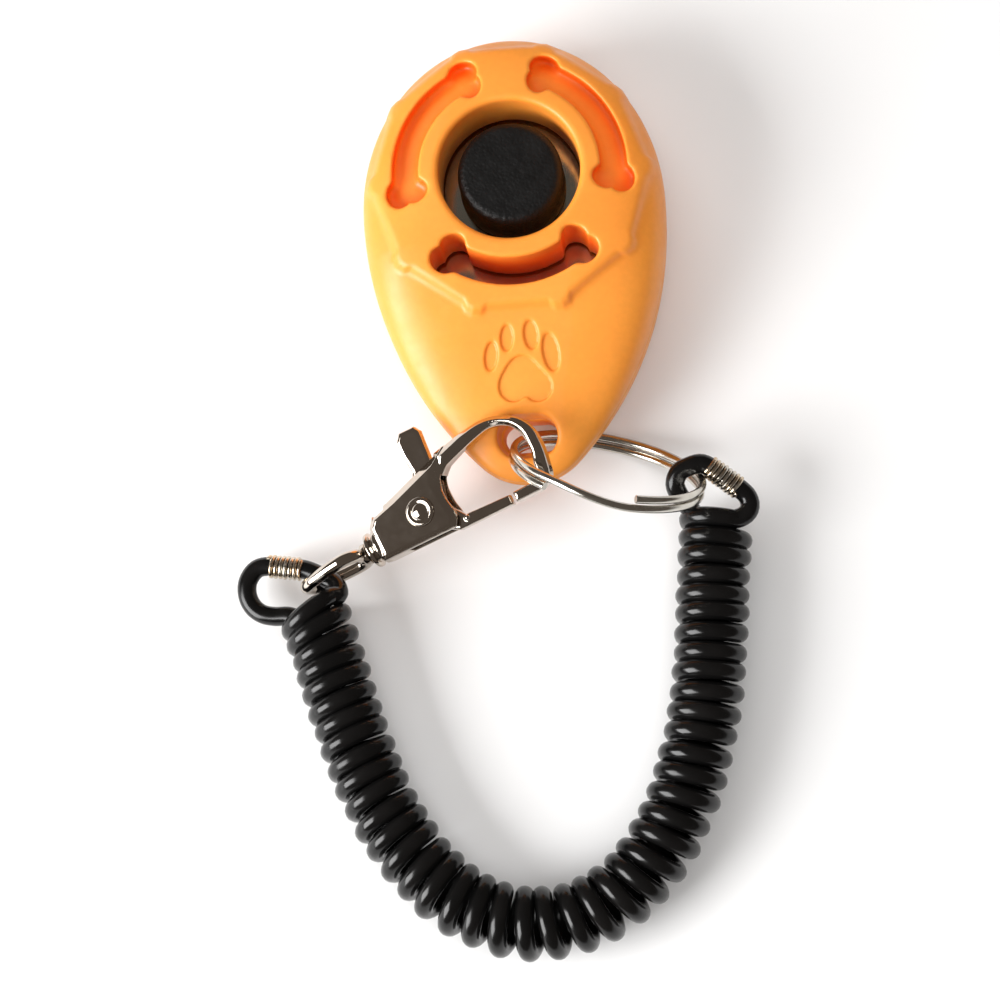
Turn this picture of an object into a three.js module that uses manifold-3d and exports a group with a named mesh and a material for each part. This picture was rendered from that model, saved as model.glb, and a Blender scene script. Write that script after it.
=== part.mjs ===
// A dog-training clicker: an egg-shaped two-part housing with a push button over a spring-steel
// click plate, a split ring through the tip, a swivel lobster clasp and a curly wrist cord.
// Millimetres, +Z up. The origin is on the housing's base, straight under the button's centre.
// The housing's broad head points to +Y and its tip, with the lanyard opening, to -Y.

import * as THREE from 'three';
import { mergeVertices } from 'three/addons/utils/BufferGeometryUtils.js';
import Module from 'manifold-3d';

const wasm = await Module();
wasm.setup();

// ---------- driving dimensions ----------
const CLEARANCE = 0.3; // air between pieces that touch on the real object

const HOUSING = {
  centreY: -4, // where the egg is widest
  halfWidth: 21.6,
  headLength: 25, // from the widest line to the top of the head
  tipRadius: 9.6,
  tipDrop: 29.6, // from the widest line to the centre of the tip's arc
  wall: 1.8,
  seamZ: 9,
  seamGap: 0.2,
  topZ: 20,
};
const FRONT_DOME = {
  squareness: 4.5,
  flatten: 1,
  depth: 9.9,
  drop: 5.9, // how much less deep the dome is one taper length beyond taperY
  taperY: -10,
  taper: 27,
  power: 1.3,
};
const BACK_DOME = {
  squareness: 6,
  flatten: 1.03,
  depth: 8.9,
  drop: 3.7,
  taperY: -18,
  taper: 18,
  power: 1.5,
};
const OUTLINE_POINTS = 60;
const OUTLINE_SHARES = [0.42, 0.2, 0.18, 0.2]; // of the points: head, left side, tip, right side
const RING_ANGLES = [0, 6, 16, 30, 48, 70]; // degrees along the shell's shoulder
const CUT = 1; // how far a cutting tool reaches past the face it cuts
const MERGE_DISTANCE = 1e-4;
const FINE = 48; // sides of the large round features

const HOLE_RADIUS = 10;
const COLLAR_WALL = 1.6;
const COLLAR_FOOT_Z = 9.8;

const PLATEAU = { centreY: -0.4, sides: 10, flatRadius: 18.9, tab: 0.5, bevel: 0.5, footZ: 14 };
const TAB_ANGLES = [13.2, 14.8]; // degrees from a side's middle to the foot and the top of a tab's flank

const BONE = {
  radius: 14.7, // centreline of the curved bone about the button's axis
  halfAngle: 38.5,
  halfWidth: 1.85,
  lobeRadius: 1.9,
  lobeOffset: 1.05,
  floorZ: 17.7,
  padFootZ: 15.9,
  slotPadFootZ: 13.5,
  padMargin: 1.3,
};
const BLIND_BONES = [30, 150]; // degrees
const SLOT_BONE = 270; // goes right through as the sound slot

const LANYARD = {
  x: 0.2,
  y: -37.2,
  halfLength: 4.6,
  halfHeight: 3.2,
  wall: 2.2,
  flare: 1.7, // how much wider the opening is at the back
  flareZ: 5.4,
};
const POSTS = [[14.6, 7.5], [-14.6, 7.5], [8.5, -25], [-8.5, -25]];
const POST = { radius: 1.3, footZ: 2.5, topZ: 12.4, socketRadius: 2.5, boreRadius: 1.5, boreTopZ: 12.9 };
const CLAMP = { halfWidth: 8, nearY: -17.8, seatY: -15.8, farY: -20.8 }; // grips the plate's tail

const PLATE = { halfWidth: 11.6, headY: 13.5, tailY: -20.5, corner: 3, bottomZ: 8.5, thickness: 0.5 };
const BUTTON = { radius: 7.35, baseRadius: 7.6, round: 1.5, topZ: 17.6, stemRadius: 1.5 };
const STAKE = { radius: 2.6, depth: 1.1, chamfer: 0.5 };
const BUTTON_SEGMENTS = 36;
const BUTTON_ROUND_STEPS = 4;

const RING = {
  centre: [10.85, -42.8, 12.95],
  heading: -17,
  lean: 27,
  radius: 13.35,
  wireRadius: 0.575,
  pitch: 1.32,
  crossover: 0.3, // radians either side of the cut ends
};

// The clasp lies in its own plane: x towards the hook's nose, the rivet at the origin.
const CLASP = { rivet: [-14.9, -46.6, 11.4], heading: 22.7, slope: 17.8, bodyHalf: 2.5, hookHalf: 1.3 };
const HOOK_ROOT = [[4.6, 3.4], [5.2, 6.5]];
const HOOK_OUTER = [
  [9.5, 7.3], [12.6, 7.5], [14.6, 7.2], [16.3, 6.5], [17.8, 5.5], [18.8, 4.3],
  [19.5, 2.6], [19.6, 0.8], [19.5, -0.9], [19.2, -2.5], [18.9, -3.9], [18.2, -5.1],
];
const HOOK_NOSE = [[16.4, -5.5], [12.8, -5.3], [12.8, -3.8], [15.6, -3.9]];
const HOOK_INNER = [
  [17, -3.1], [17.5, -1.3], [17.9, 0.1], [17.7, 2.3], [16.9, 4.2],
  [15.7, 5.2], [13.8, 5.8], [11.7, 5.6], [8.7, 4.9], [5.9, 4.1],
];
const BODY_LOWER = [[-8.2, -3.5], [3.6, -4.3]];
const BODY_NOSE = [[4.4, -2.7], [4, 0], [4.2, 2.2], [5.6, 4.2]];
const BODY_UPPER = [[6.6, 6.75], [-2.3, 4.4], [-7.3, 3.1], [-8.2, 1.6]];
const LEVER_SLOT = [[-4.5, -6], [6.6, -6], [6.6, 0.6], [4.7, 3.2], [4.9, 4.6], [4.9, 9], [-4.5, 9]];
const LEVER = { half: 0.9, slotHalf: 1.2, pivotRadius: 2.5 };
const LEVER_GATE = [[-0.5, -2.4], [3.6, -4.8], [12.1, -5.3], [12.1, -3.8], [5.2, -3.1], [2.2, 1]];
const LEVER_TAB = [
  [-2.3, 1], [2.3, -1], [4.1, 5.6], [4.5, 10.6], [4, 11.5], [1.6, 11.7], [0.7, 10.6], [0.6, 8.5], [0.9, 5.8],
];
const RIVET = { shaft: 1.1, bore: 1.4, head: 2.05, dome: 0.7 };
const RIVET_HEAD = [[1, 0], [0.94, 0.5], [0.6, 0.9]]; // shares of the head's radius and of its dome's height
const SPRING = { radius: 0.7, fromX: -4.2, toX: -1.5, y: 3.5 };
const SWIVEL = {
  y: -1,
  collarRadius: 2.55,
  collarFromX: -9.9,
  collarToX: -7.6,
  boreRadius: 1.1,
  boreFromX: -12,
  pocketRadius: 2,
  pocketFromX: -6.8,
  pocketToX: -4,
  stemRadius: 0.8,
  headRadius: 1.6,
  headFromX: -6.4,
  headToX: -5.4,
  discFromX: -11.2,
  roll: 72, // degrees that the eye is turned about the stem
};
const EYE_WIRE = 0.85;
const EYE_END = [-20.9, 0];
const EYE_SIDE = [[-11.3, 0.7], [-11.9, 2.5], [-13.6, 3.6], [-16.2, 3.6], [-18.9, 2.7], [-20.5, 1.3]];

const CORD = { radius: 1.3, coilRadius: 5.3, sides: 8, coilSides: 12 };
const FERRULE = { radius: 1.6, sides: 16 };
const COIL_ROUTE = [
  [25.6, -49.4, 5.4], [25.2, -52.4, 5.4], [24.5, -58.1, 5.4], [23.6, -66.6, 5.4], [22.3, -75, 5.4],
  [20.5, -81.9, 5.4], [18.3, -88, 5.4], [15.1, -94, 5.4], [11, -99, 5.4], [6, -102.6, 5.4],
  [0.6, -104.3, 5.4], [-4.7, -104.4, 5.4], [-10, -102.8, 5.4], [-14.8, -99.8, 5.4], [-18.9, -95.4, 5.4],
  [-22.4, -90, 5.4], [-25.2, -83.8, 5.4], [-27.3, -77.3, 5.4], [-29.1, -70.8, 5.4], [-30.7, -64.3, 5.4],
  [-32.4, -58.6, 5.4],
];
const RING_END_LOOP = [
  [24.2, -47.6, 7], [22, -47.1, 7.8], [20.2, -45.9, 8.8], [19.4, -44, 9.6], [20.2, -42, 10],
  [22.1, -41, 10.2], [24.3, -41.45, 10.2],
];
const RING_END_FERRULE = [[25, -42.1, 10], [28.9, -45.7, 8.7]];
const RING_END_TAIL = [[29.2, -46, 8.6], [30.2, -47.1, 8], [30.4, -48.4, 7]];
const CLASP_END_FERRULE = [[-38.7, -51.5, 4.6], [-33.5, -52.2, 4.9]];
const CLASP_END_LOOP = [
  [-39.3, -51.42, 4.6], [-40.3, -51.5, 4.55], [-41.5, -52.8, 4.35], [-42.1, -54.7, 4.1],
  [-41.1, -57.2, 4.1], [-38.8, -58.6, 4.5], [-36.8, -58.1, 5.1],
];
const CLASP_END_TAIL = [
  [-32.8, -52.3, 4.9], [-31.4, -52.2, 5.4], [-30.1, -53, 5.8], [-29.5, -54.6, 5.8], [-29.7, -56, 5.6],
];

// ---------- materials ----------
const material = (color, roughness, metalness) =>
  new THREE.MeshStandardMaterial({ color, roughness, metalness });
const orange = () => material('#f29a3a', 0.42, 0);
const black = () => material('#171717', 0.55, 0);
const gloss = () => material('#0e0d0d', 0.18, 0);
const chrome = () => material('#b9b4aa', 0.16, 1);
const steel = () => material('#8f938a', 0.22, 1);

// ---------- solids ----------
function solid(geometry) {
  const plain = geometry.index ? geometry.toNonIndexed() : geometry.clone();
  plain.deleteAttribute('normal');
  plain.deleteAttribute('uv');
  const merged = mergeVertices(plain, MERGE_DISTANCE);
  return new wasm.Manifold(new wasm.Mesh({
    numProp: 3,
    vertProperties: merged.attributes.position.array,
    triVerts: new Uint32Array(merged.index.array),
  }));
}

function surface(manifold) {
  const mesh = manifold.getMesh();
  const geometry = new THREE.BufferGeometry();
  geometry.setAttribute('position', new THREE.BufferAttribute(new Float32Array(mesh.vertProperties), 3));
  geometry.setIndex(new THREE.BufferAttribute(new Uint32Array(mesh.triVerts), 1));
  geometry.computeVertexNormals();
  return geometry;
}

function shapeOf(points) {
  return new THREE.Shape(points.map(([x, y]) => new THREE.Vector2(x, y)));
}

function prism(shape, fromZ, toZ, options = {}) {
  const bevel = options.bevel ?? 0;
  const geometry = new THREE.ExtrudeGeometry(shape, {
    depth: toZ - fromZ - bevel,
    bevelEnabled: bevel > 0,
    bevelThickness: bevel,
    bevelSize: bevel,
    bevelOffset: -bevel,
    bevelSegments: 1,
    curveSegments: options.curveSegments ?? 10,
  });
  return geometry.translate(0, 0, fromZ);
}

function block(x0, x1, y0, y1, z0, z1) {
  const geometry = new THREE.BoxGeometry(x1 - x0, y1 - y0, z1 - z0);
  return solid(geometry.translate((x0 + x1) / 2, (y0 + y1) / 2, (z0 + z1) / 2));
}

function drum(radius, fromZ, toZ, x = 0, y = 0, segments = 16) {
  const geometry = new THREE.CylinderGeometry(radius, radius, toZ - fromZ, segments);
  return solid(geometry.rotateX(Math.PI / 2).translate(x, y, (fromZ + toZ) / 2));
}

function drumAlongX(radius, fromX, toX, y, segments = 20) {
  const geometry = new THREE.CylinderGeometry(radius, radius, toX - fromX, segments);
  return solid(geometry.rotateZ(Math.PI / 2).translate((fromX + toX) / 2, y, 0));
}

// A closed body from rings of equal length, lowest first, each seen counter-clockwise from above.
function stack(rings, bottomCentre, topCentre) {
  const count = rings[0].length;
  const positions = [...rings.flat(), bottomCentre, topCentre].flat();
  const bottom = rings.length * count;
  const top = bottom + 1;
  const index = [];
  for (let i = 0; i < count; i++) {
    const next = (i + 1) % count;
    for (let r = 0; r + 1 < rings.length; r++) {
      const a = r * count + i;
      const b = r * count + next;
      index.push(a, b, b + count, a, b + count, a + count);
    }
    const last = (rings.length - 1) * count;
    index.push(bottom, next, i);
    index.push(top, last + i, last + next);
  }
  const geometry = new THREE.BufferGeometry();
  geometry.setAttribute('position', new THREE.Float32BufferAttribute(positions, 3));
  geometry.setIndex(index);
  return solid(geometry);
}

function polygon(radius, sides) {
  const turn = (2 * Math.PI) / sides;
  const corner = (k) => [radius * Math.cos((k + 0.5) * turn), radius * Math.sin((k + 0.5) * turn)];
  return shapeOf(Array.from({ length: sides }, (_, k) => corner(k)));
}

function smooth(points) {
  return new THREE.CatmullRomCurve3(points.map((p) => new THREE.Vector3(...p)), false, 'centripetal');
}

function tube(curve, radius, sides, steps) {
  const options = { steps, extrudePath: curve, bevelEnabled: false };
  return new THREE.ExtrudeGeometry(polygon(radius, sides), options);
}

// ---------- the egg outline: half an ellipse, two side arcs and a tip arc, all tangent ----------
function eggOutline(inset) {
  const { centreY, halfWidth, headLength, tipRadius, tipDrop } = HOUSING;
  const sideRadius = (halfWidth ** 2 + tipDrop ** 2 - tipRadius ** 2) / (2 * (halfWidth - tipRadius));
  const sideCentre = sideRadius - halfWidth;
  const meet = Math.atan2(tipDrop, sideCentre);
  const share = OUTLINE_SHARES.map((part) => Math.round(part * OUTLINE_POINTS));
  const points = [];
  const arc = (count, from, to, cx, cy, rx, ry) => {
    for (let k = 0; k < count; k++) {
      const angle = from + ((to - from) * k) / count;
      points.push([cx + rx * Math.cos(angle), cy + ry * Math.sin(angle)]);
    }
  };
  arc(share[0], 0, Math.PI, 0, centreY, halfWidth - inset, headLength - inset);
  const side = sideRadius - inset;
  const tip = tipRadius - inset;
  arc(share[1], Math.PI, Math.PI + meet, sideCentre, centreY, side, side);
  arc(share[2], Math.PI + meet, 2 * Math.PI - meet, 0, centreY - tipDrop, tip, tip);
  arc(share[3], -meet, 0, -sideCentre, centreY, side, side);
  return points;
}

// One half of the egg as a domed body: its sections shrink towards the centre as they rise,
// and it is less deep towards the tip.
function dome(form, direction, seamZ, inset = 0, below = 0) {
  const { squareness, flatten, depth, drop, taperY, taper, power } = form;
  const depthAt = (y) => depth - drop * Math.max(0, (taperY - y) / taper) ** power;
  const outline = eggOutline(inset);
  const { centreY } = HOUSING;
  const rings = RING_ANGLES.map((degrees) => {
    const angle = THREE.MathUtils.degToRad(degrees);
    const size = Math.cos(angle) ** (2 / squareness);
    const rise = Math.min(1, flatten * Math.sin(angle) ** (2 / squareness));
    return outline.map(([x, y]) => {
      const py = centreY + size * (y - centreY);
      return [size * x, py, seamZ + direction * rise * (depthAt(py) - inset)];
    });
  });
  const crown = [0, centreY, seamZ + direction * (depthAt(centreY) - inset)];
  const foot = [0, centreY, seamZ - direction * below];
  if (below > 0) rings.unshift(outline.map(([x, y]) => [x, y, seamZ - direction * below]));
  if (direction > 0) return stack(rings, foot, crown);
  return stack(rings.reverse(), crown, foot);
}

function stadium(cx, cy, halfLength, halfHeight) {
  const straight = halfLength - halfHeight;
  const shape = new THREE.Shape();
  shape.moveTo(cx - straight, cy - halfHeight);
  shape.lineTo(cx + straight, cy - halfHeight);
  shape.absarc(cx + straight, cy, halfHeight, -Math.PI / 2, Math.PI / 2);
  shape.lineTo(cx - straight, cy + halfHeight);
  shape.absarc(cx - straight, cy, halfHeight, Math.PI / 2, (3 * Math.PI) / 2);
  return shape;
}

function lanyard(margin, fromZ, toZ) {
  const { x, y, halfLength, halfHeight } = LANYARD;
  return solid(prism(stadium(x, y, halfLength + margin, halfHeight + margin), fromZ, toZ));
}

// Nearly straight sides with a small tab where they meet.
function plateauShape() {
  const { centreY, sides, flatRadius, tab } = PLATEAU;
  const period = 360 / sides;
  const [flankFoot, flankTop] = TAB_ANGLES;
  const points = [];
  for (let side = 0; side < sides; side++) {
    for (const offset of [-period / 2, -flankTop, -flankFoot, 0, flankFoot, flankTop]) {
      const angle = THREE.MathUtils.degToRad(side * period + offset - 90);
      const flat = flatRadius / Math.cos(THREE.MathUtils.degToRad(offset));
      const radius = Math.abs(offset) > flankFoot ? flat + tab : flat;
      points.push([radius * Math.cos(angle), centreY + radius * Math.sin(angle)]);
    }
  }
  return shapeOf(points);
}

// A dog bone bent round the button: an arc-shaped shaft with two round lobes at each end.
function bone(direction, margin, fromZ, toZ) {
  const { radius, halfAngle, halfWidth, lobeRadius, lobeOffset } = BONE;
  const middle = THREE.MathUtils.degToRad(direction);
  const half = THREE.MathUtils.degToRad(halfAngle);
  const shaft = new THREE.Shape();
  shaft.absarc(0, 0, radius + halfWidth + margin, middle - half, middle + half);
  shaft.absarc(0, 0, radius - halfWidth - margin, middle + half, middle - half, true);
  let body = solid(prism(shaft, fromZ, toZ, { curveSegments: 10 }));
  for (const end of [-half, half]) {
    for (const offset of [-lobeOffset, lobeOffset]) {
      const x = (radius + offset) * Math.cos(middle + end);
      const y = (radius + offset) * Math.sin(middle + end);
      body = body.add(drum(lobeRadius + margin, fromZ, toZ, x, y, 14));
    }
  }
  return body;
}

// ---------- housing ----------
function frontShell() {
  const { seamZ, seamGap, topZ, wall } = HOUSING;
  const baseZ = seamZ + seamGap / 2;
  const innerTop = topZ - CUT;
  const gripZ = seamZ + CLEARANCE;
  const plateau = solid(prism(plateauShape(), PLATEAU.footZ, topZ, { bevel: PLATEAU.bevel }));
  const outer = dome(FRONT_DOME, 1, baseZ).add(plateau);
  let inside = block(-CLAMP.halfWidth, CLAMP.halfWidth, CLAMP.farY, CLAMP.nearY, gripZ, innerTop);
  inside = inside.add(drum(HOLE_RADIUS + COLLAR_WALL, COLLAR_FOOT_Z, innerTop, 0, 0, FINE));
  inside = inside.add(lanyard(LANYARD.wall, baseZ, topZ));
  for (const [x, y] of POSTS) inside = inside.add(drum(POST.socketRadius, baseZ, innerTop, x, y));
  for (const direction of BLIND_BONES) {
    inside = inside.add(bone(direction, BONE.padMargin, BONE.padFootZ, innerTop));
  }
  inside = inside.add(bone(SLOT_BONE, BONE.padMargin, BONE.slotPadFootZ, innerTop));
  const cavity = dome(FRONT_DOME, 1, baseZ, wall, CUT);
  let shell = outer.subtract(cavity).add(inside.intersect(outer));
  shell = shell.subtract(drum(HOLE_RADIUS, 0, topZ + CUT, 0, 0, FINE));
  for (const direction of BLIND_BONES) shell = shell.subtract(bone(direction, 0, BONE.floorZ, topZ + CUT));
  shell = shell.subtract(bone(SLOT_BONE, 0, 0, topZ + CUT));
  for (const [x, y] of POSTS) shell = shell.subtract(drum(POST.boreRadius, 0, POST.boreTopZ, x, y));
  return shell.subtract(lanyard(0, 0, topZ + CUT));
}

function backShell() {
  const { seamZ, seamGap, wall } = HOUSING;
  const topZ = seamZ - seamGap / 2;
  const outer = dome(BACK_DOME, -1, topZ);
  const seatTop = PLATE.bottomZ - CLEARANCE;
  let inside = block(-CLAMP.halfWidth, CLAMP.halfWidth, CLAMP.farY, CLAMP.seatY, CUT, seatTop);
  inside = inside.add(lanyard(LANYARD.wall, 0, topZ));
  let shell = outer.subtract(dome(BACK_DOME, -1, topZ, wall, CUT)).add(inside.intersect(outer));
  for (const [x, y] of POSTS) shell = shell.add(drum(POST.radius, POST.footZ, POST.topZ, x, y, 12));
  shell = shell.subtract(lanyard(LANYARD.flare, -CUT, LANYARD.flareZ));
  return shell.subtract(lanyard(0, -CUT, seamZ + CUT));
}

function roundedRectangle(x0, x1, y0, y1, radius) {
  const shape = new THREE.Shape();
  shape.absarc(x1 - radius, y1 - radius, radius, 0, Math.PI / 2);
  shape.absarc(x0 + radius, y1 - radius, radius, Math.PI / 2, Math.PI);
  shape.absarc(x0 + radius, y0 + radius, radius, Math.PI, 1.5 * Math.PI);
  shape.absarc(x1 - radius, y0 + radius, radius, 1.5 * Math.PI, 2 * Math.PI);
  return shape;
}

function clickPlate() {
  const { halfWidth, headY, tailY, corner, bottomZ, thickness } = PLATE;
  const outline = roundedRectangle(-halfWidth, halfWidth, tailY, headY, corner);
  const sheet = solid(prism(outline, bottomZ, bottomZ + thickness, { curveSegments: 5 }));
  return sheet.subtract(drum(BUTTON.stemRadius + CLEARANCE, 0, HOUSING.topZ, 0, 0, 24));
}

// The button with its stem, which goes through the plate and is staked over below it.
function button() {
  const { radius, baseRadius, round, topZ, stemRadius } = BUTTON;
  const { radius: stakeRadius, depth, chamfer } = STAKE;
  const stakeTop = PLATE.bottomZ - CLEARANCE;
  const footZ = PLATE.bottomZ + PLATE.thickness + CLEARANCE;
  const profile = [[0, stakeTop - depth], [stakeRadius - chamfer, stakeTop - depth]];
  profile.push([stakeRadius, stakeTop - chamfer], [stakeRadius, stakeTop]);
  profile.push([stemRadius, stakeTop], [stemRadius, footZ], [baseRadius, footZ]);
  for (let k = 0; k <= BUTTON_ROUND_STEPS; k++) {
    const angle = (k * Math.PI) / (2 * BUTTON_ROUND_STEPS);
    profile.push([radius - round + round * Math.cos(angle), topZ - round + round * Math.sin(angle)]);
  }
  profile.push([0, topZ]);
  const points = profile.map(([r, z]) => new THREE.Vector2(r, z));
  return solid(new THREE.LatheGeometry(points, BUTTON_SEGMENTS).rotateX(Math.PI / 2));
}

// ---------- split ring: one wire wound twice, stepping sideways where it passes its own ends ----------
class DoubleTurn extends THREE.Curve {
  getPoint(t) {
    const { radius, pitch, crossover } = RING;
    const start = -Math.PI + crossover;
    const angle = start + (4 * Math.PI - 2 * crossover) * t;
    const step = THREE.MathUtils.smoothstep(angle, Math.PI - crossover, Math.PI + crossover) - 0.5;
    return new THREE.Vector3(radius * Math.cos(angle), pitch * step, radius * Math.sin(angle));
  }
}

// ---------- clasp ----------
const through = (shape, points) => shape.splineThru(points.map(([x, y]) => new THREE.Vector2(x, y)));

function along(shape, points) {
  for (const [x, y] of points) shape.lineTo(x, y);
}

function hookShape() {
  const [start, ...root] = HOOK_ROOT;
  const hook = new THREE.Shape();
  hook.moveTo(...start);
  along(hook, root);
  through(hook, HOOK_OUTER);
  along(hook, HOOK_NOSE);
  through(hook, HOOK_INNER);
  return hook;
}

function bodyShape() {
  const [start, ...lower] = BODY_LOWER;
  const body = new THREE.Shape();
  body.moveTo(...start);
  along(body, lower);
  through(body, BODY_NOSE);
  along(body, BODY_UPPER);
  return body;
}

const rivetBore = () => drum(RIVET.bore, -CLASP.bodyHalf - CUT, CLASP.bodyHalf + CUT);

function claspBody() {
  const { bodyHalf, hookHalf } = CLASP;
  const { y, boreRadius, boreFromX, pocketRadius, pocketFromX, pocketToX } = SWIVEL;
  let made = solid(prism(bodyShape(), -bodyHalf, bodyHalf, { curveSegments: 3 }));
  made = made.subtract(solid(prism(shapeOf(LEVER_SLOT), -LEVER.slotHalf, LEVER.slotHalf)));
  made = made.add(solid(prism(hookShape(), -hookHalf, hookHalf, { curveSegments: 2 })));
  made = made.add(drumAlongX(SWIVEL.collarRadius, SWIVEL.collarFromX, SWIVEL.collarToX, y, 24));
  made = made.subtract(drumAlongX(boreRadius, boreFromX, pocketToX, y));
  made = made.subtract(drumAlongX(pocketRadius, pocketFromX, pocketToX, y));
  return made.subtract(rivetBore());
}

function claspTrigger() {
  const { half, pivotRadius } = LEVER;
  let lever = drum(pivotRadius, -half, half);
  lever = lever.add(solid(prism(shapeOf(LEVER_GATE), -half, half)));
  lever = lever.add(solid(prism(shapeOf(LEVER_TAB), -half, half)));
  return lever.subtract(rivetBore());
}

function claspRivet() {
  const { shaft, head, dome: height } = RIVET;
  const face = CLASP.bodyHalf + CLEARANCE;
  const half = [[shaft, face], ...RIVET_HEAD.map(([out, up]) => [head * out, face + height * up])];
  const lower = half.map(([r, z]) => [r, -z]).reverse();
  const profile = [[0, -face - height], ...lower, ...half, [0, face + height]];
  const points = profile.map(([r, z]) => new THREE.Vector2(r, z));
  return solid(new THREE.LatheGeometry(points, 24).rotateX(Math.PI / 2));
}

// A wire eye, pear-shaped, on a stem whose head is held in the clasp's pocket.
function swivelEye() {
  const { y, stemRadius, headRadius, headFromX, headToX, discFromX, collarFromX, roll } = SWIVEL;
  const mirrored = EYE_SIDE.map(([px, py]) => [px, -py]).reverse();
  const points = [...EYE_SIDE, EYE_END, ...mirrored].map(([px, py]) => new THREE.Vector3(px, py, 0));
  const loop = new THREE.CatmullRomCurve3(points, true, 'centripetal');
  const wire = new THREE.TubeGeometry(loop, 40, EYE_WIRE, 8, true);
  wire.rotateX(THREE.MathUtils.degToRad(roll)).translate(0, y, 0);
  const stem = drumAlongX(stemRadius, discFromX, headToX, y, 16);
  const head = drumAlongX(headRadius, headFromX, headToX, y, 16);
  const disc = drumAlongX(headRadius, discFromX, collarFromX - CLEARANCE, y, 16);
  return solid(wire).add(stem).add(head).add(disc);
}

function triggerSpring() {
  return drumAlongX(SPRING.radius, SPRING.fromX, SPRING.toX, SPRING.y, 12);
}

// ---------- cord ----------
function cordPiece(route, steps) {
  return tube(smooth(route), CORD.radius, CORD.sides, steps);
}

function ferrule([from, to]) {
  const ends = new THREE.LineCurve3(new THREE.Vector3(...from), new THREE.Vector3(...to));
  return tube(ends, FERRULE.radius, FERRULE.sides, 1);
}

// ---------- the assembly ----------
const group = new THREE.Group();

function place(name, geometry, look, parent = group) {
  const mesh = new THREE.Mesh(geometry, look);
  mesh.name = name;
  parent.add(mesh);
}

place('front_shell', surface(frontShell()), orange());
place('back_shell', surface(backShell()), orange());
place('click_plate', surface(clickPlate()), steel());
place('button', surface(button()), black());

const ringTurn = new THREE.Group();
ringTurn.position.set(...RING.centre);
ringTurn.rotation.z = THREE.MathUtils.degToRad(RING.heading);
const ringLean = new THREE.Group();
ringLean.rotation.x = THREE.MathUtils.degToRad(RING.lean);
ringTurn.add(ringLean);
group.add(ringTurn);
place('split_ring', tube(new DoubleTurn(), RING.wireRadius, 8, 84), chrome(), ringLean);

const claspTurn = new THREE.Group();
claspTurn.position.set(...CLASP.rivet);
claspTurn.rotation.z = THREE.MathUtils.degToRad(CLASP.heading);
const claspPlane = new THREE.Group();
claspPlane.rotation.y = THREE.MathUtils.degToRad(-CLASP.slope);
claspTurn.add(claspPlane);
group.add(claspTurn);
place('clasp_body', surface(claspBody()), chrome(), claspPlane);
place('clasp_trigger', surface(claspTrigger()), chrome(), claspPlane);
place('clasp_rivet', surface(claspRivet()), chrome(), claspPlane);
place('trigger_spring', surface(triggerSpring()), steel(), claspPlane);
place('swivel_eye', surface(swivelEye()), chrome(), claspPlane);

place('coil_cord', tube(smooth(COIL_ROUTE), CORD.coilRadius, CORD.coilSides, 44), gloss());
place('ring_end_loop', cordPiece(RING_END_LOOP, 12), gloss());
place('ring_end_tail', cordPiece(RING_END_TAIL, 3), gloss());
place('ring_end_ferrule', ferrule(RING_END_FERRULE), chrome());
place('clasp_end_loop', cordPiece(CLASP_END_LOOP, 10), gloss());
place('clasp_end_tail', cordPiece(CLASP_END_TAIL, 4), gloss());
place('clasp_end_ferrule', ferrule(CLASP_END_FERRULE), chrome());

export default group;
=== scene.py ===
"""A dog-training clicker with split ring, swivel clasp and curly wrist cord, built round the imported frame.

Lengths are in millimetres, in the frame's own axes, until a mesh is made; MM turns them into metres.
Moulded and cast pieces are the zero surfaces of smooth fields; wires and cords are swept tubes.
"""

import math
from itertools import product

import bpy
import numpy as np
from mathutils import Matrix, Vector


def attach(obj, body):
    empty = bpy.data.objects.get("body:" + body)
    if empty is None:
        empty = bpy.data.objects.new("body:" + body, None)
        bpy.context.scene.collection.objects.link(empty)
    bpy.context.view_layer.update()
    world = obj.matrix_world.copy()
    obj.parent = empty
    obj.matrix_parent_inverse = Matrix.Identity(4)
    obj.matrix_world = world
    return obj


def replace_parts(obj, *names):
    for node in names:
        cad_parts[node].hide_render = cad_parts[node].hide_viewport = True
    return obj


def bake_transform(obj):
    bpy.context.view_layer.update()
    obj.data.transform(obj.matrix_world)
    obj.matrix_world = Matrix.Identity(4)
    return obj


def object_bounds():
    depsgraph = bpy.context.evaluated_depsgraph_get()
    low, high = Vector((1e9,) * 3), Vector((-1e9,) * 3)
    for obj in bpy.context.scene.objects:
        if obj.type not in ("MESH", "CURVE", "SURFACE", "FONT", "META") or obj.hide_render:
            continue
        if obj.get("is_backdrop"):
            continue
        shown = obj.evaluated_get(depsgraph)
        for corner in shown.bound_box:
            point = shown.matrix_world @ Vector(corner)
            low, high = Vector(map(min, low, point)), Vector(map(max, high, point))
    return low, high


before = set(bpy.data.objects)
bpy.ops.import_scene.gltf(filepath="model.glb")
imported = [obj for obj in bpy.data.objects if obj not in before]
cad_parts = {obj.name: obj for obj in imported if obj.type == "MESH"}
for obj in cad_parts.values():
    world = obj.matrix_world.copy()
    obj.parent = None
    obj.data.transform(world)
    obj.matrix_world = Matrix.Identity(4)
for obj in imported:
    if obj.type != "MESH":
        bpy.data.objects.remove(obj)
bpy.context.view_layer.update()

MM = 0.001

# ---------- driving dimensions ----------
CENTRE_Y = -4.0
HALF_WIDTH = 21.6
HEAD_LENGTH = 25.0
TIP_RADIUS = 9.6
TIP_DROP = 29.6
WALL = 1.8
SEAM_Z = 9.0
SEAM_GAP = 0.2
FRONT_SHOULDER, BACK_SHOULDER = 3.6, 6  # powers of the domes; a higher one has a squarer shoulder
BACK_FLATTEN = 1.03

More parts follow.
